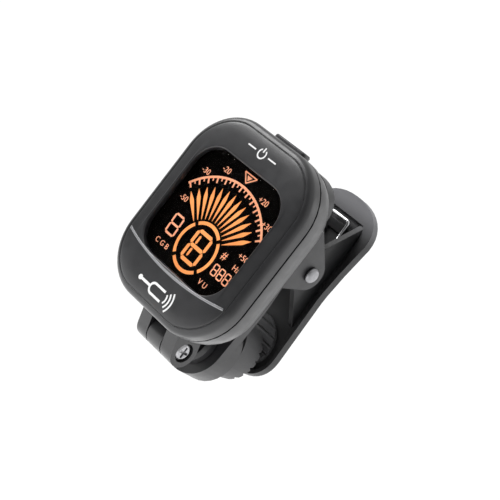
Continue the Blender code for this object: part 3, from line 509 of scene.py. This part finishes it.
class Sheet:
    """Flat shapes seen from the front, gathered into one thin piece."""

    def __init__(self, y, thickness):
        self.y = y
        self.back = y + thickness
        self.verts = []
        self.faces = []

    def polygon(self, points):
        """Add a closed outline given as x and z, in metres, as a thin slab."""
        area = sum(a[0] * b[1] - b[0] * a[1] for a, b in zip(points, points[1:] + points[:1]))
        if area < 0:
            points = points[::-1]
        start = len(self.verts)
        count = len(points)
        self.verts += [(x, self.y, z) for x, z in points]
        self.verts += [(x, self.back, z) for x, z in points]
        self.faces.append([start + i for i in range(count)])
        self.faces.append([start + count + i for i in range(count)][::-1])
        for i in range(count):
            j = (i + 1) % count
            self.faces.append([start + j, start + i, start + count + i, start + count + j])

    def arc(self, centre, inner, outer, start, end, steps=24):
        """Add a ring segment between two angles in degrees, anticlockwise from +X."""
        angles = [math.radians(start + (end - start) * i / steps) for i in range(steps + 1)]
        points = [(centre[0] + outer * math.cos(a), centre[1] + outer * math.sin(a))
                  for a in angles]
        points += [(centre[0] + inner * math.cos(a), centre[1] + inner * math.sin(a))
                   for a in angles[::-1]]
        self.polygon(points)

    def stroke(self, a, b, width):
        """Add a straight bar between two points."""
        along = Vector((b[0] - a[0], b[1] - a[1])).normalized() * width / 2
        side = (-along.y, along.x)
        self.polygon([(a[0] + side[0], a[1] + side[1]), (a[0] - side[0], a[1] - side[1]),
                      (b[0] - side[0], b[1] - side[1]), (b[0] + side[0], b[1] + side[1])])

    def segment(self, a, b, width):
        """Add a display segment: a bar with pointed ends."""
        way = Vector((b[0] - a[0], b[1] - a[1])).normalized() * width / 2
        side = Vector((-way.y, way.x))
        a = Vector(a)
        b = Vector(b)
        self.polygon([tuple(p) for p in (a, a + way + side, b - way + side, b,
                                         b - way - side, a + way - side)])

    def digit(self, centre, half_x, half_z, width, slant=0.0):
        """Add a seven-segment figure with all its segments lit."""
        gap = width * 0.14

        def at(x, z):
            return (centre[0] + x * half_x + slant * z * half_z, centre[1] + z * half_z)

        ends = ((at(-1, 1), at(1, 1)), (at(1, 1), at(1, 0)), (at(1, 0), at(1, -1)),
                (at(-1, -1), at(1, -1)), (at(-1, 0), at(-1, -1)), (at(-1, 1), at(-1, 0)),
                (at(-1, 0), at(1, 0)))
        for pair in ends:
            a, b = (Vector(point) for point in pair)
            cut = (b - a).normalized() * gap
            self.segment(tuple(a + cut), tuple(b - cut), width)

    def words(self, text, centre, height):
        """Add figures or letters from the built-in font, centred on a point."""
        curve = bpy.data.curves.new("words", "FONT")
        curve.body = text
        curve.align_x = "CENTER"
        curve.align_y = "CENTER"
        curve.size = height * 1.42
        curve.resolution_u = 3
        item = bpy.data.objects.new("words", curve)
        bpy.context.scene.collection.objects.link(item)
        bpy.context.view_layer.update()
        mesh = item.to_mesh()
        work = bmesh.new()
        work.from_mesh(mesh)
        bmesh.ops.remove_doubles(work, verts=work.verts, dist=1e-7)
        bmesh.ops.dissolve_limit(work, angle_limit=0.01, verts=work.verts, edges=work.edges)
        bmesh.ops.triangulate(work, faces=work.faces)
        flat = [(centre[0] + v.co.x, centre[1] + v.co.y) for v in work.verts]
        start = len(self.verts)
        count = len(flat)
        self.verts += [(x, self.y, z) for x, z in flat]
        self.verts += [(x, self.back, z) for x, z in flat]
        work.verts.index_update()
        for face in work.faces:
            ring = [v.index for v in face.verts]
            self.faces.append([start + i for i in ring])
            self.faces.append([start + count + i for i in ring][::-1])
        for edge in work.edges:
            if len(edge.link_loops) == 1:
                loop = edge.link_loops[0]
                i = loop.vert.index
                j = loop.link_loop_next.vert.index
                self.faces.append([start + j, start + i, start + count + i,
                                   start + count + j])
        work.free()
        item.to_mesh_clear()
        bpy.data.objects.remove(item)
        bpy.data.curves.remove(curve)

    def follow_face(self):
        """Let the shapes lie on the crowned face."""
        self.verts = [(x, y + face_drop(x, z), z) for x, y, z in self.verts]

    def piece(self, name, finish):
        """Turn the gathered shapes into a piece of the head."""
        made = piece_from(name, self.verts, self.faces, finish, smooth=False)
        placed(made, "head", finish)


def polar(radius, degrees_from_top):
    """Point of the dial at a radius and an angle from straight up, clockwise."""
    a = math.radians(degrees_from_top)
    return (radius * math.sin(a), DIAL_Z + radius * math.cos(a))


def needle_outline(angle):
    """Outline of a needle at an angle from straight up: down one side and back up the other."""
    sides = [(radius, -half) for radius, half in NEEDLE_PROFILE]
    sides += [(radius, half) for radius, half in NEEDLE_PROFILE[::-1]]
    return [polar(radius * MM, angle + math.degrees(half / radius)) for radius, half in sides]


def make_needles():
    """Pointed needles, the broken ring and the large figure inside it."""
    sheet = Sheet(DIAL_Y, GRAPHIC_DEPTH)
    for number in range(-NEEDLES_PER_SIDE, NEEDLES_PER_SIDE + 1):
        sheet.polygon(needle_outline(number * NEEDLE_STEP))
    for quarter in range(4):
        start = 45 + 90 * quarter + RING_GAP / 2
        sheet.arc((0, DIAL_Z), *RING_RADII, start, start + 90 - RING_GAP, 28)
    sheet.digit((0.15 * MM, DIAL_Z), 2.4 * MM, 3.55 * MM, 0.86 * MM)
    inner_x = -0.85 * MM
    for near, far in ((2.7, 0.5), (-0.5, -2.7)):
        sheet.segment((inner_x, DIAL_Z + near * MM), (inner_x, DIAL_Z + far * MM), 0.6 * MM)
    sheet.piece("dial_needles", "amber")


def add_graduations(sheet):
    """Arc over the needles with long ticks at them and short ticks between."""
    sheet.arc((0, DIAL_Z), *SCALE_RADII, 90 - SCALE_HALF_ANGLE, 90 + SCALE_HALF_ANGLE, 72)
    steps = 2 * NEEDLES_PER_SIDE
    for step in range(-steps, steps + 1):
        angle = step * NEEDLE_STEP / 2
        foot, width = LONG_TICK if step % 2 == 0 else SHORT_TICK
        sheet.stroke(polar(foot, angle), polar(TICK_TOP, angle), width)


def add_centre_mark(sheet):
    """Triangle that points down at the middle needle, with a smaller one inside."""
    top = 19.8
    outer = ((-2.1, top), (2.1, top), (0.0, top - 2.1))
    for a, b in zip(outer, outer[1:] + outer[:1]):
        sheet.stroke((a[0] * MM, DIAL_Z + a[1] * MM), (b[0] * MM, DIAL_Z + b[1] * MM), 0.3 * MM)
    sheet.polygon([(x * 0.4 * MM, DIAL_Z + (top - 0.45 + (z - top) * 0.5) * MM)
                   for x, z in outer])


def make_scale():
    """Graduated arc with its figures, the centre mark and the small figures below."""
    sheet = Sheet(DIAL_Y, GRAPHIC_DEPTH)
    add_graduations(sheet)
    for text, x, z in (("-50", -11.9, 6.6), ("-30", -11.5, 14.4), ("-20", -6.7, 17.4),
                       ("+20", 7.3, 16.9), ("+30", 12.2, 13.2), ("+50", 12.4, 4.9)):
        sheet.words(text, (x * MM, DIAL_Z + z * MM), 1.4 * MM)
    add_centre_mark(sheet)
    sheet.digit((-9.1 * MM, DIAL_Z + 0.7 * MM), 1.45 * MM, 2.35 * MM, 0.5 * MM, slant=-0.06)
    for text, x, z, height in (("C G B", -8.9, -4.2, 1.3), ("V U", 7.7, -5.0, 1.3),
                               ("#", 7.9, 2.7, 1.9), ("Hz", 12.7, 2.1, 1.35)):
        sheet.words(text, (x * MM, DIAL_Z + z * MM), height * MM)
    for number in range(3):
        sheet.digit(((8.2 + 2.1 * number) * MM, DIAL_Z - 0.9 * MM), 0.72 * MM, 1.25 * MM,
                    0.3 * MM, slant=-0.05)
    sheet.piece("dial_scale", "peach")


def add_tuning_fork(sheet, z):
    """Tuning fork lying on its side at a height, with sound arcs at its tips."""
    ball = (-6.0 * MM, z)
    sheet.stroke(ball, (-2.2 * MM, z), 0.62 * MM)
    sheet.arc(ball, 0.0001 * MM, 0.62 * MM, 0, 359.9, 20)
    sheet.arc((-0.95 * MM, z), 0.95 * MM, 1.5 * MM, 90, 270, 20)
    for side in (-1, 1):
        tine_z = z + side * 1.225 * MM
        sheet.stroke((-0.97 * MM, tine_z), (2.7 * MM, tine_z), 0.55 * MM)
    for radius in (1.5, 2.5, 3.5):
        sheet.arc((2.2 * MM, z), radius * MM, (radius + 0.42) * MM, -38, 38, 14)


def add_power_sign(sheet, x, z):
    """Power sign between two short dashes."""
    sheet.arc((x, z), 0.95 * MM, 1.3 * MM, 125, 415, 30)
    sheet.stroke((x, z + 0.35 * MM), (x, z + 1.55 * MM), 0.36 * MM)
    for side in (-1, 1):
        sheet.stroke((x + side * 2.2 * MM, z), (x + side * 4.9 * MM, z), 0.34 * MM)


def make_marks():
    """Plain printed marks on the face."""
    sheet = Sheet(FACE_Y - 0.03 * MM, 0.2 * MM)
    add_tuning_fork(sheet, 2.35 * MM)
    add_power_sign(sheet, 0.3 * MM, 39.9 * MM)
    sheet.follow_face()
    sheet.piece("face_print", "print")


# ---------------------------------------------------------------- spring

def leg_angle(target, turn):
    """Angle on the coil where a straight leg to a target (y, z) leaves it."""
    dy = target[0] - PIN_Y
    dz = target[1] - PIN_Z
    return math.atan2(dz, dy) + turn * math.acos(COIL_RADIUS / math.hypot(dy, dz))


def spring_side():
    """Centre line of the spring's right half, from the front leg's end to the rear bar."""
    rear = leg_angle(SPRING_KNEE, -1)
    front = leg_angle(SPRING_FRONT_END, 1) - 4 * math.pi
    outer_x = COIL_START_X + COIL_PITCH * abs(rear - front) / (2 * math.pi)
    side = [(outer_x, *SPRING_FRONT_END)]
    count = 60
    for i in range(count + 1):
        t = i / count
        a = front + (rear - front) * t
        side.append((outer_x + (COIL_START_X - outer_x) * t, PIN_Y + COIL_RADIUS * math.cos(a),
                     PIN_Z + COIL_RADIUS * math.sin(a)))
    knee_y, knee_z = SPRING_KNEE
    side.append((COIL_START_X, knee_y + (side[-1][1] - knee_y) * 0.12,
                 knee_z + (side[-1][2] - knee_z) * 0.12))
    side.append((COIL_START_X, knee_y, knee_z))
    bar_y, bar_z = SPRING_BAR
    for i in range(6):
        a = math.pi / 2 * i / 5
        side.append((COIL_START_X - SPRING_CORNER * (1 - math.cos(a)), bar_y,
                     bar_z - SPRING_CORNER * (1 - math.sin(a))))
    return side


def make_spring():
    """Double torsion spring of round wire, lying between the two arms."""
    side = spring_side()
    route = side + [(-x, y, z) for x, y, z in side[::-1]]
    curve = bpy.data.curves.new("spring_wire", "CURVE")
    curve.dimensions = "3D"
    curve.bevel_depth = WIRE_RADIUS
    curve.bevel_resolution = 3
    curve.use_fill_caps = True
    spline = curve.splines.new("POLY")
    spline.points.add(len(route) - 1)
    for point, place in zip(spline.points, route):
        point.co = (*place, 1.0)
    shape = bpy.data.objects.new("spring_shape", curve)
    bpy.context.scene.collection.objects.link(shape)
    bpy.context.view_layer.update()
    mesh = bpy.data.meshes.new_from_object(shape)
    bpy.data.objects.remove(shape)
    spring = finished("spring_wire", mesh, "wire")
    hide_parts("torsion_spring")
    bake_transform(spring)


# ---------------------------------------------------------------- setting

def make_camera():
    """Camera to the right of the object, rolled so that the object leans to the left."""
    cam = bpy.data.cameras.new("camera")
    item = bpy.data.objects.new("camera", cam)
    bpy.context.scene.collection.objects.link(item)
    cam.lens = 108
    cam.sensor_width = 36
    cam.clip_start = 0.01
    cam.clip_end = 10
    axes = (Vector(CAMERA_RIGHT), -Vector(CAMERA_DOWN), -Vector(CAMERA_AHEAD))
    turn = Matrix(axes).transposed().to_4x4()
    turn.translation = Vector(CAMERA_PLACE)
    item.matrix_world = turn
    bpy.context.scene.camera = item


def softbox(name, place, size, power):
    """A rectangular area light aimed at the object."""
    light = bpy.data.lights.new(name, "AREA")
    light.shape = "RECTANGLE"
    light.size = size[0]
    light.size_y = size[1]
    light.energy = power
    item = bpy.data.objects.new(name, light)
    bpy.context.scene.collection.objects.link(item)
    item.location = place
    item.rotation_mode = "QUATERNION"
    aim = Vector(OBJECT_CENTRE) - Vector(place)
    item.rotation_quaternion = aim.to_track_quat("-Z", "Y")


def make_world():
    """White surround, seen as plain white and lighting the object a little unevenly."""
    world = bpy.data.worlds.new("surround")
    bpy.context.scene.world = world
    world.use_nodes = True
    tree = world.node_tree
    tree.nodes.clear()
    place = tree.nodes.new("ShaderNodeTexCoord")
    dot = tree.nodes.new("ShaderNodeVectorMath")
    dot.operation = "DOT_PRODUCT"
    dot.inputs[1].default_value = (-0.1, -0.9, -0.42)
    tree.links.new(place.outputs["Generated"], dot.inputs[0])
    shade = tree.nodes.new("ShaderNodeMapRange")
    shade.interpolation_type = "SMOOTHSTEP"
    shade.inputs["From Min"].default_value = -0.35
    shade.inputs["From Max"].default_value = 0.7
    shade.inputs["To Min"].default_value = 1.0
    shade.inputs["To Max"].default_value = 0.22
    tree.links.new(dot.outputs["Value"], shade.inputs["Value"])
    lit = tree.nodes.new("ShaderNodeBackground")
    tree.links.new(shade.outputs["Result"], lit.inputs["Strength"])
    seen = tree.nodes.new("ShaderNodeBackground")
    seen.inputs["Strength"].default_value = 1.05
    for shader in (lit, seen):
        shader.inputs["Color"].default_value = (1, 1, 1, 1)
    path = tree.nodes.new("ShaderNodeLightPath")
    mix = tree.nodes.new("ShaderNodeMixShader")
    tree.links.new(path.outputs["Is Camera Ray"], mix.inputs["Fac"])
    tree.links.new(lit.outputs["Background"], mix.inputs[1])
    tree.links.new(seen.outputs["Background"], mix.inputs[2])
    out = tree.nodes.new("ShaderNodeOutputWorld")
    tree.links.new(mix.outputs["Shader"], out.inputs["Surface"])


def make_floor():
    """Plain white floor below the object."""
    verts = [(x * FLOOR_HALF, y * FLOOR_HALF, FLOOR_Z)
             for x, y in ((-1, -1), (1, -1), (1, 1), (-1, 1))]
    mesh = bpy.data.meshes.new("floor")
    mesh.from_pydata(verts, [], [[0, 1, 2, 3]])
    made, tree, shader = nodes_of("floor_white")
    tree.links.new(ramp(tree, object_noise(tree, 3.0), grey(0.93), grey(0.96)),
                   shader.inputs["Base Color"])
    shader.inputs["Roughness"].default_value = 0.9
    shader.inputs["Emission Color"].default_value = (1, 1, 1, 1)
    shader.inputs["Emission Strength"].default_value = 0.7
    mesh.materials.append(made)
    floor = bpy.data.objects.new("floor", mesh)
    bpy.context.scene.collection.objects.link(floor)


# ---------------------------------------------------------------- assembly

make_face_shell()
make_lens()
make_trim()
make_needles()
make_scale()
make_marks()
# node, piece, finish and edge rounding in mm
REFINED = (
    ("rear_shell", "rear_case", "body", 0.22), ("power_button", "button_cap", "button", 0.3),
    ("battery_cover", "battery_lid", "body", 0.2), ("swivel_base", "turret", "body", 0.25),
    ("front_arm", "front_lever", "inner", 0.25), ("rear_arm", "rear_lever", "tray", 0.3),
    ("front_pad", "front_grip", "rubber", 0.15), ("rear_pad", "rear_grip", "rubber", 0.12),
    ("pivot_pin", "pivot_rivet", "pin", 0.1), ("hinge_screw", "tilt_screw", "steel", 0.08),
)
for node, name, finish, rounding in REFINED:
    refined(node, name, finish, rounding * MM)
make_spring()

# finishes of the nodes that are carried over as they are
NODE_FINISH = {
    "lcd_panel": "lcd", "backlight_plate": "diffuser", "lcd_connector_strip": "strip",
    "circuit_board": "board", "processor_blob": "blob", "tact_switch": "switch",
    "vibration_sensor": "brass", "battery_cell": "steel", "battery_contact_negative": "steel",
    "battery_contact_positive": "steel", "hinge_nut": "steel", "swivel_washer": "steel",
    "swivel_screw": "steel",
}
for number in range(1, 5):
    NODE_FINISH[f"case_screw_{number}"] = "steel"
for node, finish in NODE_FINISH.items():
    mesh = frame["nodes"][node].data
    mesh.materials.clear()
    mesh.materials.append(FINISH[finish])

make_camera()
make_world()
make_floor()
softbox("key_top_left", (-0.42, -0.32, 0.34), (0.36, 0.36), 3.6)
softbox("rim_back_right", (0.3, 0.65, 0.12), (0.4, 0.8), 1.4)

bpy.context.scene.view_settings.view_transform = "Standard"
